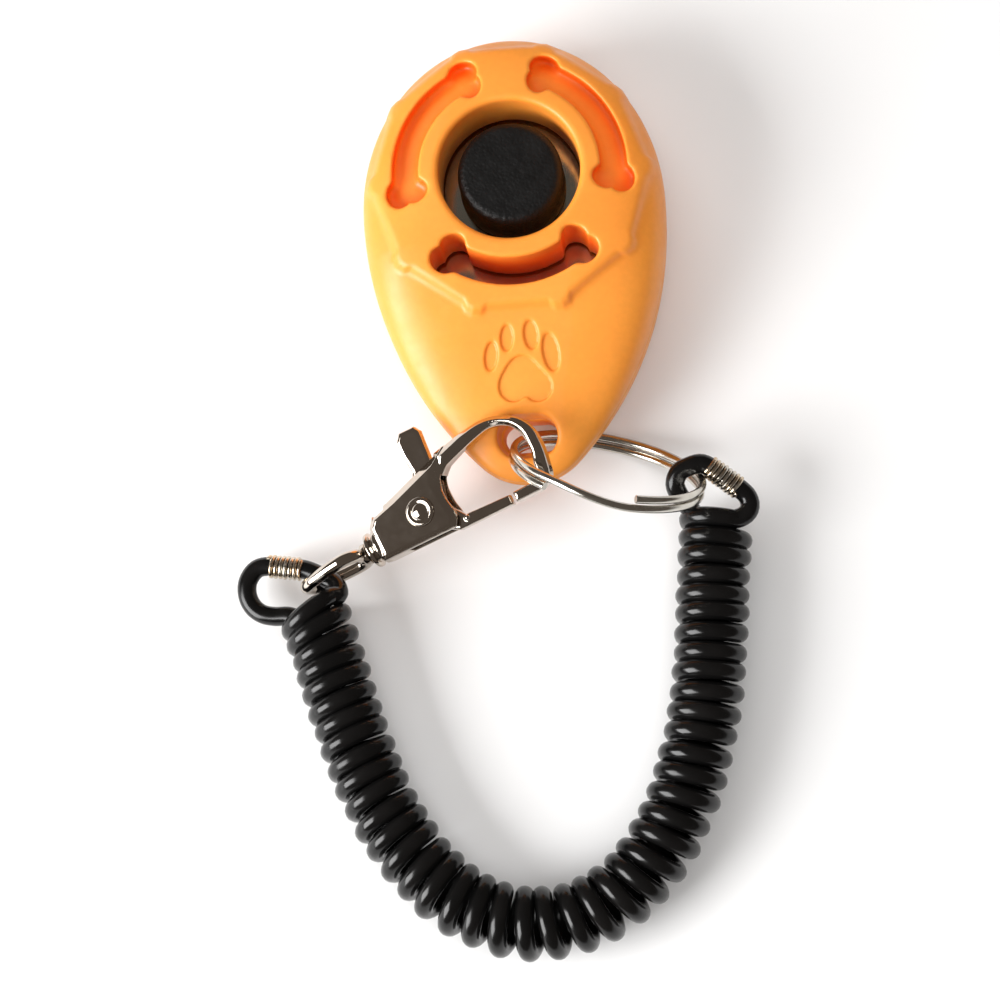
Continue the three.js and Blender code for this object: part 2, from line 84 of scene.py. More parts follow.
SHELL_X = (-22.6, 22.6)  # the spans that hold the whole housing
SHELL_Y = (-44.2, 22.8)
PAW_X = (-6.4, 6.4)  # the spans that hold the paw mark, sampled more finely
PAW_Y = (-33.4, -20.8)

HOLE_RADIUS = 10.0
HOLE_EDGE = 1.0
COLLAR_WALL = 1.6
COLLAR_FOOT_Z = 9.8
PLATEAU_Y = -0.4
PLATEAU_SIDES = 10
PLATEAU_RADIUS = 18.9
PLATEAU_STEP = 0.95
PLATEAU_EDGE, PLATEAU_FOOT = 0.9, 1.1
TAB_HEIGHT = 0.5
TAB_HALF_ANGLE = 4.0
TAB_FLANK_ANGLE = 2.6

BONE_RADIUS = 14.7
BONE_HALF_ANGLE = 38.5
BONE_HALF_WIDTH = 1.85
LOBE_RADIUS = 1.9
LOBE_OFFSET = 1.05
BONE_DEPTH = 2.5
BONE_EDGE, BONE_FLOOR_EDGE, BONE_CORNER = 0.5, 1.2, 0.5
BONE_WALL = 1.3
BLIND_BONE_FOOT_Z = 15.2
BLIND_BONES = (30, 150)
SLOT_BONE = 270

PAW_DEPTH, PAW_EDGE = 0.36, 0.4
PAW_TOES = [  # x, y, half width, half height, tilt in degrees
    (-4.3, -25.9, 0.85, 1.9, 10), (-1.9, -23.6, 0.85, 1.7, 6),
    (1.5, -23.4, 0.95, 1.9, -3), (4.1, -25.9, 1.1, 2.5, -6),
]
PAD_HEELS = [(-1.5, -30.2), (1.9, -30.4)]
PAD_FRONT = (-0.05, -28.0)
PAD_HEEL_RADIUS, PAD_FRONT_RADIUS = 2.0, 1.9

LANYARD_X, LANYARD_Y = -0.1, -36.8
LANYARD_HALF_LENGTH, LANYARD_HALF_HEIGHT = 4.25, 3.0
LANYARD_NARROWING, LANYARD_SHORTENING = 0.95, 0.3
LANYARD_SHIFT_X, LANYARD_SHIFT_Y = 0.7, 0.45
LANYARD_TAPER_TOP_Z, LANYARD_TAPER_DEPTH = 11.2, 4
LANYARD_WALL = 2.2
LANYARD_EDGE = 1.1
FLARE = 1.7
FLARE_FOOT_Z, FLARE_HEIGHT = 4.4, 1.6
FLARE_EDGE = 1.4

POSTS = [(14.6, 7.5), (-14.6, 7.5), (8.5, -25), (-8.5, -25)]
POST_RADIUS, POST_MIDDLE_Z, POST_HALF_HEIGHT = 1.3, 7.2, 5.2
SOCKET_RADIUS, SOCKET_TOP_Z, BOSS_RADIUS = 1.5, 12.9, 2.5
CLAMP_HALF_X, CLAMP_Y, CLAMP_HALF_Y, CLAMP_TOP_Z = 8, -18.3, 2.5, 8.2
BACK_EDGE, SEAM_EDGE, INNER_EDGE = 0.8, 0.35, 0.3

PLATE_Z = 8.5
PLATE_THICKNESS = 0.5
PLATE_HALF_WIDTH, PLATE_HEAD_Y, PLATE_TAIL_Y = 11.6, 13.5, -20.5
PLATE_CORNER, PLATE_HOLE_RADIUS = 3.0, 1.8
PLATE_BOW, PLATE_BOW_REACH = 0.2, 14
PLATE_EDGE = 0.08
BUTTON_TOP_Z = 17.6
BUTTON_RADIUS, BUTTON_ROUNDING, BUTTON_CROWN = 7.45, 1.35, 0.12

RING_CENTRE = (10.85, -42.8, 12.95)
RING_HEADING = -17.0
RING_LEAN = 27.0
RING_RADIUS = 13.35
RING_WIRE = 0.575
RING_PITCH = 1.32
RING_CROSSOVER = 0.5
RING_GAP_ANGLE = 94.0

RIVET_AT = (-14.9, -46.6, 11.4)
CLASP_HEADING = 22.7
CLASP_SLOPE = 17.8
BODY_HALF = 2.5
HOOK_HALF = 1.3
LEVER_HALF = 0.9
SLOT_HALF = 1.2
RIVET_HOLE = 1.4
BODY_CHAMFER, UPPER_CHAMFER = 0.7, 1.3
SWIVEL_Y = -1.0
COLLAR_X, COLLAR_HALF, COLLAR_RADIUS = -8.75, 1.15, 2.6
BAND_XS = (-8.15, -9.45)
BAND_HALF, BAND_DEPTH = 0.35, 0.55
SPRING_TURNS = 6
SPRING_X, SPRING_Y, SPRING_LENGTH = -4.1, 3.5, 2.5
SPRING_RADIUS, SPRING_WIRE = 0.55, 0.13
EYE_ROLL = 86.0
EYE_WIRE = 0.95

CORD_RADIUS = 1.37
COIL_RADIUS = 3.87
COIL_TURNS = 42.26
COIL_FIRST_ANGLE = 130.0
COIL_CROWDING = 0.13  # how much closer the turns lie at the ends, and wider in the bend
COIL_STEPS = 26  # points in a turn
FIRST_LEAN, LAST_LEAN = 0.15, 0.25
CORD_END_STEP = 0.45
FERRULE_WIRE = 0.29
FERRULE_PITCH = 0.66
FERRULE_STEPS = 22

COIL_Z = 5.4
COIL_ROUTE = [
    (25.6, -49.4), (25.2, -52.4), (24.5, -58.1), (23.6, -66.6), (22.3, -75), (20.5, -81.9),
    (18.3, -88), (15.1, -94), (11, -99), (6, -102.6), (0.6, -104.3), (-4.7, -104.4),
    (-10, -102.8), (-14.8, -99.8), (-18.9, -95.4), (-22.4, -90), (-25.2, -83.8), (-27.3, -77.3),
    (-29.1, -70.8), (-30.7, -64.3), (-32.4, -58.6),
]
RING_END = [
    (24.2, -53.8, COIL_Z), (23.9, -51.3, 5.5), (22.9, -49.3, 6.2), (21.6, -47.5, 7.2), (20.5, -46.0, 8.5),
    (20.1, -44.6, 9.4), (20.8, -43.2, 10), (22.2, -42.55, 10.3), (23.8, -42.2, 10.2),
]
RING_END_FERRULE = [(24.7, -42.5, 10.1), (29.2, -46.0, 8.6)]
RING_END_TAIL = [(30.1, -47.0, 8.3), (30.4, -48.3, 8.15), (29.8, -49.5, 8.25)]
CLASP_END_TAIL = [
    (-28.5, -56.8, 6.95), (-28.5, -55.8, 6.2), (-29.2, -54.8, 5.75), (-30.4, -54, 5.5), (-31.9, -53.15, 5.3),
]
CLASP_END_FERRULE = [(-33.4, -52.5, 5.1), (-38.7, -51.6, 4.6)]
CLASP_END = [
    (-40.3, -51.9, 4.4), (-41.6, -53.5, 4.25), (-41.8, -55.4, 4.15), (-41.1, -57.2, 4.15),
    (-39.7, -58.4, 4.3), (-37.9, -58.9, 4.6), (-35.8, -59.1, 5.1), (-33.9, -60.1, COIL_Z),
    (-32.6, -62.2, COIL_Z),
]

# sharper edges than these, in degrees, are shaded as edges
CUT_ANGLE = 50
BUTTON_ANGLE = 40


# ---------- camera ----------
def unit(vector):
    return np.asarray(vector, float) / np.linalg.norm(vector)


def make_camera():
    """A long lens almost straight above, leaning back towards the cord and rolled a little."""
    target = np.array([-4.7, -45.0, 8.0])
    distance = 420.0
    half_seen = 70.7  # half the width seen at the target
    roll, lean_right, lean_back = math.radians(3.4), math.radians(4), math.radians(10)
    across = np.array([math.cos(roll), -math.sin(roll), 0])
    along = np.array([math.sin(roll), math.cos(roll), 0])
    back = unit(math.tan(lean_right) * across - math.tan(lean_back) * along + np.array([0, 0, 1]))
    right = unit(np.cross(along, back))
    up = np.cross(back, right)
    data = bpy.data.cameras.new("camera")
    data.sensor_width = 36
    data.lens = data.sensor_width / 2 * distance / half_seen
    data.clip_start, data.clip_end = 0.01, 20
    camera = bpy.data.objects.new("camera", data)
    bpy.context.scene.collection.objects.link(camera)
    placed = np.eye(4)
    placed[:3, :3] = np.stack([right, up, back], axis=1)
    placed[:3, 3] = (target + distance * back) * MM
    camera.matrix_world = Matrix(placed.tolist())
    bpy.context.scene.camera = camera


make_camera()


# ---------- curves ----------
def through(points, per_span=8):
    """A smooth curve through the points (centripetal Catmull-Rom)."""
    p = np.array(points, float)
    p = np.vstack([2 * p[0] - p[1], p, 2 * p[-1] - p[-2]])
    spans = []
    for a, b, c, d in zip(p, p[1:], p[2:], p[3:]):
        t1 = np.linalg.norm(b - a) ** 0.5
        t2 = t1 + np.linalg.norm(c - b) ** 0.5
        t3 = t2 + np.linalg.norm(d - c) ** 0.5
        t = np.linspace(t1, t2, per_span, endpoint=False)[:, None]
        ab = a + (b - a) * t / t1
        bc = b + (c - b) * (t - t1) / (t2 - t1)
        cd = c + (d - c) * (t - t2) / (t3 - t2)
        abc = ab + (bc - ab) * t / t2
        bcd = bc + (cd - bc) * (t - t1) / (t3 - t1)
        spans.append(abc + (bcd - abc) * (t - t1) / (t2 - t1))
    return np.vstack([*spans, p[-2:-1]])


def lengths(path):
    """How far along the path each of its points lies."""
    return np.concatenate([[0], np.cumsum(np.linalg.norm(np.diff(path, axis=0), axis=1))])


def evenly(path, step):
    """The same path with its points a fixed step apart."""
    along = lengths(path)
    wanted = np.linspace(0, along[-1], max(2, round(along[-1] / step) + 1))
    return np.stack([np.interp(wanted, along, path[:, k]) for k in range(path.shape[1])], axis=1)


def turned(points, about_z=0.0, about_x=0.0, about_y=0.0, origin=(0, 0, 0)):
    """Turned about X, then Y, then Z, in degrees, then moved to the origin given."""
    turn = Matrix.Identity(3)
    for degrees, axis in ((about_z, "Z"), (about_y, "Y"), (about_x, "X")):
        turn = turn @ Matrix.Rotation(math.radians(degrees), 3, axis)
    return np.asarray(points, float) @ np.array(turn).T + np.array(origin)


def clasp_place(points):
    """From the clasp's own plane, x to the hook's nose and the rivet at its origin, to the frame."""
    return turned(points, about_z=CLASP_HEADING, about_y=-CLASP_SLOPE, origin=RIVET_AT)


# ---------- meshes ----------
def mesh_object(name, vertices, faces, look, slot, sharp=None):
    """A smooth-shaded mesh from millimetres, with its material; slot is not used; sharp is an angle in
    degrees.
    """
    mesh = bpy.data.meshes.new(name)
    mesh.from_pydata((np.asarray(vertices, float) * MM).tolist(), [], faces)
    mesh.materials.append(look)
    mesh.shade_smooth()
    if sharp:
        mesh.set_sharp_from_angle(angle=math.radians(sharp))
    obj = bpy.data.objects.new(name, mesh)
    bpy.context.scene.collection.objects.link(obj)
    return obj


def sweep(path, radius, sides, closed=False, start_normal=None):
    """Vertices and faces of a round tube along a path; its open ends are capped."""
    path = np.asarray(path, float)
    count = len(path)
    if closed:
        tangent = np.roll(path, -1, axis=0) - np.roll(path, 1, axis=0)
    else:
        tangent = np.gradient(path, axis=0)
    tangent /= np.linalg.norm(tangent, axis=1)[:, None]
    normal = start_normal if start_normal is not None else np.cross(tangent[0], (0.3, 0.2, 0.93))
    normals = []
    for direction in tangent:
        normal = normal - direction * (normal @ direction)
        normal = normal / np.linalg.norm(normal)
        normals.append(normal)
    normals = np.array(normals)[:, None]
    binormals = np.cross(tangent, normals[:, 0])[:, None]
    angle = (np.arange(sides) * 2 * math.pi / sides)[None, :, None]
    radius = np.broadcast_to(np.asarray(radius, float), (count,))[:, None, None]
    vertices = path[:, None] + radius * (np.cos(angle) * normals + np.sin(angle) * binormals)
    faces = []
    for i in range(count if closed else count - 1):
        a, b = i * sides, (i + 1) % count * sides
        for k in range(sides):
            n = (k + 1) % sides
            faces.append((a + k, a + n, b + n, b + k))
    if not closed:
        faces.append(tuple(range(sides))[::-1])
        faces.append(tuple(range((count - 1) * sides, count * sides)))
    return vertices.reshape(-1, 3), faces


def round_ended(path, radius, edge):
    """The path and its radii with both cut ends slightly rounded over."""
    path = np.asarray(path, float)
    first, last = unit(path[0] - path[1]), unit(path[-1] - path[-2])
    steps_out = np.array([0.6, 1.0])[:, None] * edge
    narrowed = radius - edge * (1 - np.array([0.9, 0.6]))
    start = path[0] + first * steps_out[::-1]
    end = path[-1] + last * steps_out
    radii = np.concatenate([narrowed[::-1], np.full(len(path), radius), narrowed])
    return np.vstack([start, path, end]), radii


def joined(*parts):
    """Several (vertices, faces) as one."""
    vertices, faces, base = [], [], 0
    for points, polygons in parts:
        vertices.append(np.asarray(points, float))
        faces.extend(tuple(i + base for i in polygon) for polygon in polygons)
        base += len(points)
    return np.vstack(vertices), faces


def revolve(profile, segments):
    """A profile of (radius, z), starting and ending on the axis, turned about Z. It goes up the outside."""
    middle = profile[1:-1]
    angle = np.arange(segments) * 2 * math.pi / segments
    vertices = [(0, 0, profile[0][1])]
    for radius, z in middle:
        vertices.extend(zip(radius * np.cos(angle), radius * np.sin(angle), [z] * segments))
    vertices.append((0, 0, profile[-1][1]))
    faces = []
    top = len(vertices) - 1
    last = 1 + (len(middle) - 1) * segments
    for k in range(segments):
        n = (k + 1) % segments
        faces.append((0, 1 + n, 1 + k))
        for row in range(len(middle) - 1):
            a = 1 + row * segments
            faces.append((a + k, a + n, a + segments + n, a + segments + k))
        faces.append((top, last + k, last + n))
    return np.array(vertices, float), faces


# ---------- smooth fields: negative inside, roughly a distance in millimetres near the surface ----------
def smooth_max(a, b, blend):
    overlap = np.maximum(blend - np.abs(a - b), 0) / blend
    return np.maximum(a, b) + overlap * overlap * blend / 4


def smooth_min(a, b, blend):
    return -smooth_max(-a, -b, blend)


def smoothstep(share):
    return share * share * (3 - 2 * share)


def polygon_field(x, y, points):
    """Signed distance to a closed outline."""
    nearest, inside = 1e9, False
    for (ax, ay), (bx, by) in zip(points, [*points[1:], points[0]]):
        ex, ey = bx - ax, by - ay
        wx, wy = x - ax, y - ay
        t = np.clip((wx * ex + wy * ey) / (ex * ex + ey * ey), 0, 1)
        nearest = np.minimum(nearest, (wx - ex * t) ** 2 + (wy - ey * t) ** 2)
        crosses = ((ay <= y) != (by <= y)) & ((ex * wy > ey * wx) == (by > ay))
        inside = inside ^ crosses
    return np.where(inside, -1, 1) * np.sqrt(nearest)


def lanyard_field(x, y, z):
    """The opening for the ring, narrower below the front shell's surface."""
    share = smoothstep(np.clip((LANYARD_TAPER_TOP_Z - z) / LANYARD_TAPER_DEPTH, 0, 1))
    half_height = LANYARD_HALF_HEIGHT - LANYARD_NARROWING * share
    straight = LANYARD_HALF_LENGTH - LANYARD_SHORTENING * share - half_height
    across = np.maximum(np.abs(x - LANYARD_X - LANYARD_SHIFT_X * share) - straight, 0)
    return np.hypot(across, y - LANYARD_Y - LANYARD_SHIFT_Y * share) - half_height


def surface_of(field, axes):
    """Vertices and quads of the field's zero surface, with one vertex in each crossed cell of the grid."""
    xs, ys, zs = axes
    sizes = (len(xs), len(ys), len(zs))
    value = np.broadcast_to(field(xs[:, None, None], ys[None, :, None], zs[None, None, :]), sizes)
    corner = {}
    for c in product((0, 1), repeat=3):
        corner[c] = value[tuple(slice(o, n - 1 + o) for o, n in zip(c, sizes))]
    below = sum((v < 0).astype(np.int8) for v in corner.values())
    active = (below > 0) & (below < 8)
    cell = np.argwhere(active)
    number = np.full(active.shape, -1, np.int64)
    number[active] = np.arange(len(cell))
    at_corner = {c: v[active] for c, v in corner.items()}
    total, hits = np.zeros((len(cell), 3)), np.zeros(len(cell))
    for start in product((0, 1), repeat=3):
        for axis in range(3):
            if start[axis]:
                continue
            end = tuple(1 if k == axis else s for k, s in enumerate(start))
            a, b = at_corner[start], at_corner[end]
            hit = (a < 0) != (b < 0)
            share = np.where(hit, a / np.where(hit, a - b, 1), 0)
            low = np.stack([g[cell[:, k] + start[k]] for k, g in enumerate(axes)], axis=1)
            high = np.stack([g[cell[:, k] + end[k]] for k, g in enumerate(axes)], axis=1)
            total += np.where(hit[:, None], low + (high - low) * share[:, None], 0)
            hits += hit
    points = drawn_onto(total / hits[:, None], field)
    inside = value < 0
    quads = []
    for axis in range(3):
        u, v = (axis + 1) % 3, (axis + 2) % 3
        low = np.take(inside, range(sizes[axis] - 1), axis)
        high = np.take(inside, range(1, sizes[axis]), axis)
        node = np.argwhere(low != high)
        for k in (u, v):
            node = node[(node[:, k] > 0) & (node[:, k] < sizes[k] - 1)]
        step_u, step_v = np.eye(3, dtype=int)[u], np.eye(3, dtype=int)[v]
        ring = [node - step_u - step_v, node - step_v, node, node - step_u]
        quad = np.stack([number[tuple(c.T)] for c in ring], axis=1)
        outward = low[tuple(node.T)]
        quads.append(np.where(outward[:, None], quad, quad[:, ::-1]))
    return points, np.vstack(quads).tolist()


def drawn_onto(points, field, reach=0.12, probe=0.03, rounds=3, least_slope=0.2):
    """The points moved onto the field's zero surface along its gradient, by at most reach in each round."""
    for _ in range(rounds):
        x, y, z = points.T
        value = field(x, y, z)
        gradient = np.stack([
            field(x + probe, y, z) - field(x - probe, y, z),
            field(x, y + probe, z) - field(x, y - probe, z),
            field(x, y, z + probe) - field(x, y, z - probe),
        ], axis=1) / (2 * probe)
        step = value[:, None] * gradient / np.maximum((gradient ** 2).sum(1), least_slope)[:, None]
        size = np.linalg.norm(step, axis=1)[:, None]
        points = points - step * np.minimum(1, reach / np.maximum(size, 1e-9))
    return points


def spaced(low, high, step, fine=None, fine_step=None):
    """Grid lines from low to high, closer together between the two ends of fine."""
    if fine is None:
        return np.linspace(low, high, round((high - low) / step) + 1)
    parts = [(low, fine[0], step), (fine[0], fine[1], fine_step), (fine[1], high, step)]
    lines = [np.linspace(a, b, round((b - a) / s) + 1) for a, b, s in parts]
    return np.concatenate([lines[0][:-1], lines[1], lines[2][1:]])


# ---------- materials ----------
MIX_A, MIX_B, MIX_RESULT = 6, 7, 2  # the colour sockets of a Mix node
NOISE_LOW, NOISE_HIGH = 0.3, 0.7  # where nearly all of a noise's values lie


class Look:
    """A procedural material: a Principled surface with noise on its colour, roughness and bump."""

    def __init__(self, name, roughness, metallic=0.0, **constants):
        self.material = bpy.data.materials.new(name)
        self.material.use_nodes = True
        self.tree = self.material.node_tree
        self.surface = self.tree.nodes["Principled BSDF"]
        self.surface.inputs["Metallic"].default_value = metallic
        self.surface.inputs["Roughness"].default_value = roughness
        for socket, value in constants.items():
            self.surface.inputs[socket.replace("_", " ")].default_value = value
        self.place = self.tree.nodes.new("ShaderNodeTexCoord").outputs["Object"]
        self.bump = None

    def link(self, source, target):
        self.tree.links.new(source, target)

    def stretched(self, scale):
        """The frame's coordinates, stretched by a factor on each axis."""
        node = self.tree.nodes.new("ShaderNodeMapping")
        node.inputs["Scale"].default_value = scale
        self.link(self.place, node.inputs["Vector"])
        return node.outputs["Vector"]

    def noise(self, size_mm, detail=3.0, roughness=0.5, place=None):
        node = self.tree.nodes.new("ShaderNodeTexNoise")
        node.inputs["Scale"].default_value = 1 / (size_mm * MM)
        node.inputs["Detail"].default_value = detail
        node.inputs["Roughness"].default_value = roughness
        self.link(place or self.place, node.inputs["Vector"])
        return node.outputs["Fac"]

    def cells(self, size_mm):
        node = self.tree.nodes.new("ShaderNodeTexVoronoi")
        node.feature = "SMOOTH_F1"
        node.inputs["Scale"].default_value = 1 / (size_mm * MM)
        self.link(self.place, node.inputs["Vector"])
        return node.outputs["Distance"]

    def ramp(self, source, stops):
        """A colour ramp; each stop is a place from 0 to 1 and a grey or a colour."""
        node = self.tree.nodes.new("ShaderNodeValToRGB")
        while len(node.color_ramp.elements) < len(stops):
            node.color_ramp.elements.new(0.5)
        for element, (at, colour) in zip(node.color_ramp.elements, stops):
            element.position = at
            rgb = (colour,) * 3 if isinstance(colour, (int, float)) else colour
            element.color = (*rgb, 1)
        self.link(source, node.inputs["Fac"])
        return node.outputs["Color"]

    def mix(self, factor, a, b, blend="MIX"):
        node = self.tree.nodes.new("ShaderNodeMix")
        node.data_type = "RGBA"
        node.blend_type = blend
        for socket, value in (("Factor", factor), (MIX_A, a), (MIX_B, b)):
            if hasattr(value, "links"):
                self.link(value, node.inputs[socket])
            else:
                node.inputs[socket].default_value = value
        return node.outputs[MIX_RESULT]

    def colour(self, source):
        self.link(source, self.surface.inputs["Base Color"])

    def rough(self, source, low, high):
        """Roughness from low to high, following the noise."""
        node = self.tree.nodes.new("ShaderNodeMapRange")
        node.inputs["From Min"].default_value = NOISE_LOW
        node.inputs["From Max"].default_value = NOISE_HIGH
        node.inputs["To Min"].default_value = low
        node.inputs["To Max"].default_value = high
        self.link(source, node.inputs["Value"])
        self.link(node.outputs["Result"], self.surface.inputs["Roughness"])

    def relief(self, height, depth_mm, strength=1.0):
        """A bump of the depth given; several calls add up."""
        node = self.tree.nodes.new("ShaderNodeBump")
        node.inputs["Distance"].default_value = depth_mm * MM
        node.inputs["Strength"].default_value = strength
        self.link(height, node.inputs["Height"])
        if self.bump is not None:
            self.link(self.bump, node.inputs["Normal"])
        self.bump = node.outputs["Normal"]
        self.link(self.bump, self.surface.inputs["Normal"])
        return self


def orange_plastic():
    """Orange moulded plastic, redder in its recesses: painted shade, a deep red-orange tint laid on through
    an ambient occlusion mask.
    """
    # painted shade: the deep red-orange colour given to recesses, holes and grooves
    painted_recess_shade = (0.9, 0.13, 0.004, 1)
    painted_shade_reach = 5 * MM
    look = Look("housing_orange", 0.42, Subsurface_Weight=0.16, Subsurface_Scale=0.004, IOR=1.5)
    look.surface.inputs["Subsurface Radius"].default_value = (1.0, 0.42, 0.16)
    base = look.ramp(look.noise(14, detail=2), [(0.3, (0.91, 0.295, 0.036)), (0.7, (0.95, 0.33, 0.044))])
    speck = look.ramp(look.noise(0.9, detail=4), [(0.42, 0.97), (0.62, 1.0)])
    # painted shade: an ambient occlusion mask mixes the red-orange tint into the base colour wherever the
    # surface is enclosed
    occlusion = look.tree.nodes.new("ShaderNodeAmbientOcclusion")
    occlusion.samples, occlusion.only_local = 8, True
    occlusion.inputs["Distance"].default_value = painted_shade_reach
    exposed = look.ramp(occlusion.outputs["AO"], [(0.42, 0.0), (0.92, 1.0)])
    look.colour(look.mix(exposed, painted_recess_shade, look.mix(1.0, base, speck, "MULTIPLY")))
    look.rough(look.noise(3.2, detail=5, roughness=0.6), 0.34, 0.5)
    look.relief(look.noise(0.22, detail=3), 0.012, 0.5)
    return look.relief(look.noise(7, detail=1), 0.05, 0.25).material


def black_plastic():
    look = Look("button_black", 0.45, IOR=1.42)
    look.colour(look.ramp(look.noise(2.5, detail=4), [(0.35, 0.004), (0.7, 0.007)]))
    look.rough(look.noise(1.4, detail=5, roughness=0.65), 0.38, 0.5)
    look.relief(look.cells(0.5), 0.1, 0.8)
    return look.relief(look.noise(0.3, detail=4, roughness=0.65), 0.06, 0.8).material


def gloss_cord():
    look = Look("cord_black", 0.2, IOR=1.38)
    look.colour(look.ramp(look.noise(6, detail=3), [(0.35, 0.003), (0.7, (0.006, 0.0056, 0.0055))]))
    look.rough(look.noise(2.2, detail=5, roughness=0.6), 0.14, 0.27)
    look.relief(look.noise(0.5, detail=3), 0.008, 0.4)
    return look.relief(look.noise(3.5, detail=2), 0.03, 0.3).material


def cast_chrome():
    look = Look("clasp_chrome", 0.16, metallic=1.0)
    look.colour(look.ramp(look.noise(5, detail=3), [(0.3, (0.54, 0.475, 0.41)), (0.7, (0.6, 0.54, 0.475))]))
    look.rough(look.noise(1.6, detail=5, roughness=0.65), 0.05, 0.09)
    hair = look.noise(0.5, detail=4, place=look.stretched((0.12, 1.0, 1.0)))
    look.relief(hair, 0.003, 0.35)
    return look.relief(look.noise(1.8, detail=2), 0.0015, 0.3).material


def ring_steel():
    look = Look("ring_steel", 0.18, metallic=1.0)
    look.colour(look.ramp(look.noise(4, detail=3), [(0.3, (0.56, 0.53, 0.47)), (0.7, (0.70, 0.68, 0.63))]))
    look.rough(look.noise(1.1, detail=5), 0.13, 0.27)
    return look.relief(look.noise(0.6, detail=3), 0.01, 0.35).material


def ferrule_wire():
    look = Look("ferrule_wire", 0.22, metallic=1.0)
    look.colour(look.ramp(look.noise(1.7, detail=3), [(0.3, (0.66, 0.50, 0.32)), (0.65, (0.70, 0.67, 0.60))]))
    look.rough(look.noise(0.7, detail=4), 0.15, 0.33)
    return look.relief(look.noise(0.25, detail=3), 0.002, 0.4).material


def spring_steel():
    look = Look("plate_steel", 0.12, metallic=1.0)
    grain = look.noise(0.8, detail=4, place=look.stretched((1.0, 0.05, 1.0)))
    look.colour(look.ramp(look.noise(6, detail=2), [(0.3, (0.50, 0.52, 0.46)), (0.7, (0.62, 0.63, 0.57))]))
    look.rough(grain, 0.09, 0.2)
    return look.relief(grain, 0.003, 0.4).material


def pale_floor():
    look = Look("pale_floor", 0.7)
    look.colour(look.ramp(look.noise(40, detail=3), [(0.3, 0.87), (0.7, 0.9)]))
    return look.relief(look.noise(1.5, detail=3), 0.01, 0.2).material


ORANGE = orange_plastic()
BLACK = black_plastic()
GLOSS = gloss_cord()
CHROME = cast_chrome()
RING_STEEL = ring_steel()
FERRULE = ferrule_wire()
PLATE_STEEL = spring_steel()


# ---------- the cord ----------
def ripple(share, size, rate, offset=0.0):
    return size * np.sin(share * rate + offset)


def coil_turns():
    """The curly cord's right-handed helix round its route, slightly uneven and leaning at both ends."""
    route = evenly(through([(x, y, COIL_Z) for x, y in COIL_ROUTE], 16), 0.1)
    along = lengths(route) / lengths(route)[-1]
    share = np.linspace(0, 1, round(COIL_TURNS * COIL_STEPS) + 1)
    centre = np.stack([np.interp(share, along, route[:, k]) for k in range(3)], axis=1)
    ahead = np.gradient(centre, axis=0)
    ahead /= np.linalg.norm(ahead, axis=1)[:, None]
    right = np.cross(ahead, (0, 0, 1))
    turned_by = share + COIL_CROWDING * np.sin(2 * math.pi * share) / (2 * math.pi)
    angle = math.radians(COIL_FIRST_ANGLE) - 2 * math.pi * COIL_TURNS * turned_by
    radius = COIL_RADIUS + ripple(share, 0.05, 71) + ripple(share, 0.04, 143, 1)
    lean = FIRST_LEAN * (1 - share) ** 2 - LAST_LEAN * share ** 30
    sideways = radius * np.cos(angle)
    upwards = radius * np.sin(angle)
    forward = ripple(share, 0.12, 97, 0.5) - lean * sideways
    turns = centre + sideways[:, None] * right + forward[:, None] * ahead
    turns[:, 2] += upwards
    return turns


def cord_path():
    """One cord from cut end to cut end, both tucked into the coil's core behind a looped, clamped bight."""
    coil = coil_turns()
    per_span = 10
    first = through([*RING_END, *RING_END_FERRULE, *RING_END_TAIL, coil[0], coil[2]], per_span)[:-per_span]
    last = through([coil[-3], coil[-1], *CLASP_END_TAIL, *CLASP_END_FERRULE, *CLASP_END], per_span)[per_span:]
    return np.vstack([evenly(first, CORD_END_STEP)[:-1], coil, evenly(last, CORD_END_STEP)[1:]])


def wound_ferrule(name, ends, body):
    """Wire wound tightly round the cord between two points, its ends snipped off."""
    start, end = np.array(ends[0], float), np.array(ends[1], float)
    axis = unit(end - start)
    side = unit(np.cross(axis, (0, 0, 1)))
    up = np.cross(side, axis)
    turns = round((np.linalg.norm(end - start) - 2 * FERRULE_WIRE) / FERRULE_PITCH)
    share = np.linspace(0, 1, turns * FERRULE_STEPS + 1)[:, None]
    angle = share * turns * 2 * math.pi + 0.8
    reach = CORD_RADIUS + 0.05 + ripple(angle, 0.025, 0.37)
    line = start + axis * FERRULE_WIRE + (end - start - 2 * axis * FERRULE_WIRE) * share
    path = line + reach * (np.cos(angle) * side + np.sin(angle) * up)
    points, radii = round_ended(path, FERRULE_WIRE, 0.1)
    obj = mesh_object(name, *sweep(points, radii, 10), FERRULE, "clasp_chrome", CUT_ANGLE)
    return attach(obj, body)


def make_cord():
    path = cord_path()
    points, radii = round_ended(path, CORD_RADIUS, 0.2)
    cord = mesh_object("curly_cord", *sweep(points, radii, 16), GLOSS, "cord_black", CUT_ANGLE)
    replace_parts(cord, "coil_cord", "ring_end_loop", "ring_end_tail", "clasp_end_loop", "clasp_end_tail")
    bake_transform(cord)
    ring_ferrule = wound_ferrule("ring_end_ferrule_wire", RING_END_FERRULE, "split_ring")
    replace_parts(ring_ferrule, "ring_end_ferrule")
    clasp_ferrule = wound_ferrule("clasp_end_ferrule_wire", CLASP_END_FERRULE, "clasp_body")
    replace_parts(clasp_ferrule, "clasp_end_ferrule")


make_cord()


